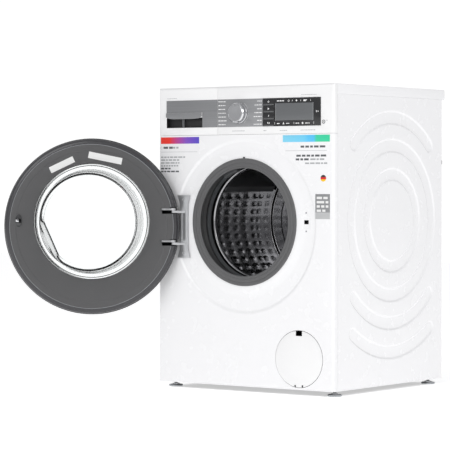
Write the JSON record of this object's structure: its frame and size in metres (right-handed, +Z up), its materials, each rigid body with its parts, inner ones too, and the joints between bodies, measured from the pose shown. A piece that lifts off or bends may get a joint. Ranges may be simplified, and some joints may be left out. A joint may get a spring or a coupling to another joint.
{
  "type": "front load washing machine",
  "caption": "Front load washing machine with a round glass door on a side hinge, detergent drawer, programme knob, display, sprung tub and belt driven drum.",
  "frame": {"origin": "on the floor, at the centre of the cabinet's footprint", "axes": "+Z up, -Y out of the door side (front), +X to the right seen from the front"},
  "size_m": [0.9298, 0.911, 0.848],
  "materials": {
    "white_enamel": "smooth white enamel",
    "white_plastic": "smooth white moulding",
    "worktop_board": "white laminate",
    "zinc_sheet": "galvanised sheet",
    "dark_plastic": "moulded",
    "grey_plastic": "moulded",
    "silver_plastic": "metallic lacquer",
    "display_black": "polished",
    "display_grey": "polished",
    "chrome": "polished",
    "stainless": "brushed",
    "steel": "plain",
    "aluminium": "die cast",
    "zinc_cast": "die cast, satin",
    "glass": "clear",
    "clear_window": "clear",
    "door_rim": "dark, polished",
    "door_grey": "fine grain",
    "rubber": "moulded",
    "concrete": "rough",
    "circuit_green": "printed board",
    "blue_plastic": "moulded"
  },
  "bodies": {
    "cabinet": {"front_panel": "white_enamel", "side_panel_left": "white_enamel", "side_panel_right": "white_enamel", "rear_panel": "zinc_sheet", "rear_cover": "grey_plastic", "base_tray": "dark_plastic", "worktop": "worktop_board", "top_braces": "zinc_sheet", "control_fascia": "white_plastic", "programme_plate": "silver_plastic", "display_panel": "display_black", "display_window": "display_grey", "control_board": "circuit_green", "drawer_housing": "grey_plastic", "hinge_bracket": "zinc_cast", "door_lock": "dark_plastic", "door_gasket": "rubber", "suspension_springs": "steel", "shock_absorbers": "grey_plastic", "tub_hoses": "rubber", "inlet_valve": "white_plastic", "inlet_pipe": "grey_plastic", "drain_pump": "dark_plastic", "drain_hose": "dark_plastic", "hose_clips": "dark_plastic", "transport_caps": "grey_plastic", "cable_gland": "dark_plastic"},
    "door": {"door_inner_ring": "door_grey", "door_outer_ring": "door_rim", "door_glass": "glass", "door_window": "clear_window", "hinge_arms": "zinc_cast"},
    "latch": {"latch_hook": "steel"},
    "detergent_drawer": {"drawer_front": "white_plastic", "drawer_tray": "grey_plastic"},
    "knob": {"programme_knob": "chrome"},
    "key_1": {"key_1": "display_black"},
    "key_2": {"key_2": "display_black"},
    "key_3": {"key_3": "display_black"},
    "key_4": {"key_4": "display_black"},
    "flap": {"service_flap": "white_plastic"},
    "filter": {"pump_filter": "blue_plastic"},
    "tub": {"tub_front": "grey_plastic", "tub_back": "grey_plastic", "upper_counterweight": "concrete", "lower_counterweight": "concrete", "bearings": "steel", "heater": "steel", "motor_housing": "aluminium", "drive_belt": "rubber"},
    "drum": {"drum_shell": "stainless", "drum_back": "stainless", "lifters": "grey_plastic", "drum_spider": "aluminium", "drum_pulley": "aluminium"},
    "motor_rotor": {"motor_pulley": "steel"},
    "foot_front_left": {"foot_front_left": "grey_plastic"},
    "foot_front_right": {"foot_front_right": "grey_plastic"},
    "foot_rear_left": {"foot_rear_left": "grey_plastic"},
    "foot_rear_right": {"foot_rear_right": "grey_plastic"}
  },
  "joints": [
    {"name": "door_hinge", "type": "hinge", "parent": "cabinet", "child": "door", "pos_m": [-0.231, -0.3, 0.457], "axis": [0, 0, 1], "range_deg": [0, 146]},
    {"name": "latch_release", "type": "hinge", "parent": "door", "child": "latch", "pos_m": [-0.59412, -0.54493, 0.473], "axis": [0, 0, 1], "range_deg": [0, 6], "stiffness_Nm_per_rad": 0.6},
    {"name": "drawer_slide", "type": "slide", "parent": "cabinet", "child": "detergent_drawer", "axis": [0, -1, 0], "range_m": [0, 0.2]},
    {"name": "knob_turn", "type": "hinge", "parent": "cabinet", "child": "knob", "pos_m": [-0.0174, -0.29, 0.7735], "axis": [0, -1, 0], "continuous": true},
    {"name": "key_1_press", "type": "slide", "parent": "cabinet", "child": "key_1", "axis": [0, 1, 0], "range_m": [0, 0.0008], "stiffness_N_per_m": 600},
    {"name": "key_2_press", "type": "slide", "parent": "cabinet", "child": "key_2", "axis": [0, 1, 0], "range_m": [0, 0.0008], "stiffness_N_per_m": 600},
    {"name": "key_3_press", "type": "slide", "parent": "cabinet", "child": "key_3", "axis": [0, 1, 0], "range_m": [0, 0.0008], "stiffness_N_per_m": 600},
    {"name": "key_4_press", "type": "slide", "parent": "cabinet", "child": "key_4", "axis": [0, 1, 0], "range_m": [0, 0.0008], "stiffness_N_per_m": 600},
    {"name": "flap_hinge", "type": "hinge", "parent": "cabinet", "child": "flap", "pos_m": [0.185, -0.2798, 0.0268], "axis": [1, 0, 0], "range_deg": [0, 95]},
    {"name": "filter_turn", "type": "hinge", "parent": "cabinet", "child": "filter", "pos_m": [0.185, -0.25, 0.095], "axis": [0, -1, 0], "range_deg": [0, 360]},
    {"name": "tub_float", "type": "slide", "parent": "cabinet", "child": "tub", "axis": [0, 0, 1], "range_m": [-0.01, 0.01], "stiffness_N_per_m": 20000, "springref_m": 0.0156, "deforming": ["suspension_springs", "shock_absorbers", "door_gasket", "tub_hoses"]},
    {"name": "drum_spin", "type": "hinge", "parent": "tub", "child": "drum", "pos_m": [0, -0.05, 0.471], "axis": [0, -1, 0], "continuous": true},
    {"name": "motor_spin", "type": "hinge", "parent": "tub", "child": "motor_rotor", "pos_m": [0, 0.2, 0.118], "axis": [0, -1, 0], "continuous": true},
    {"name": "foot_front_left_level", "type": "slide", "parent": "cabinet", "child": "foot_front_left", "axis": [0, 0, -1], "range_m": [0, 0.02]},
    {"name": "foot_front_right_level", "type": "slide", "parent": "cabinet", "child": "foot_front_right", "axis": [0, 0, -1], "range_m": [0, 0.02]},
    {"name": "foot_rear_left_level", "type": "slide", "parent": "cabinet", "child": "foot_rear_left", "axis": [0, 0, -1], "range_m": [0, 0.02]},
    {"name": "foot_rear_right_level", "type": "slide", "parent": "cabinet", "child": "foot_rear_right", "axis": [0, 0, -1], "range_m": [0, 0.02]}
  ],
  "couplings": [
    {"joint": "motor_spin", "follows": "drum_spin", "ratio": 11}
  ]
}
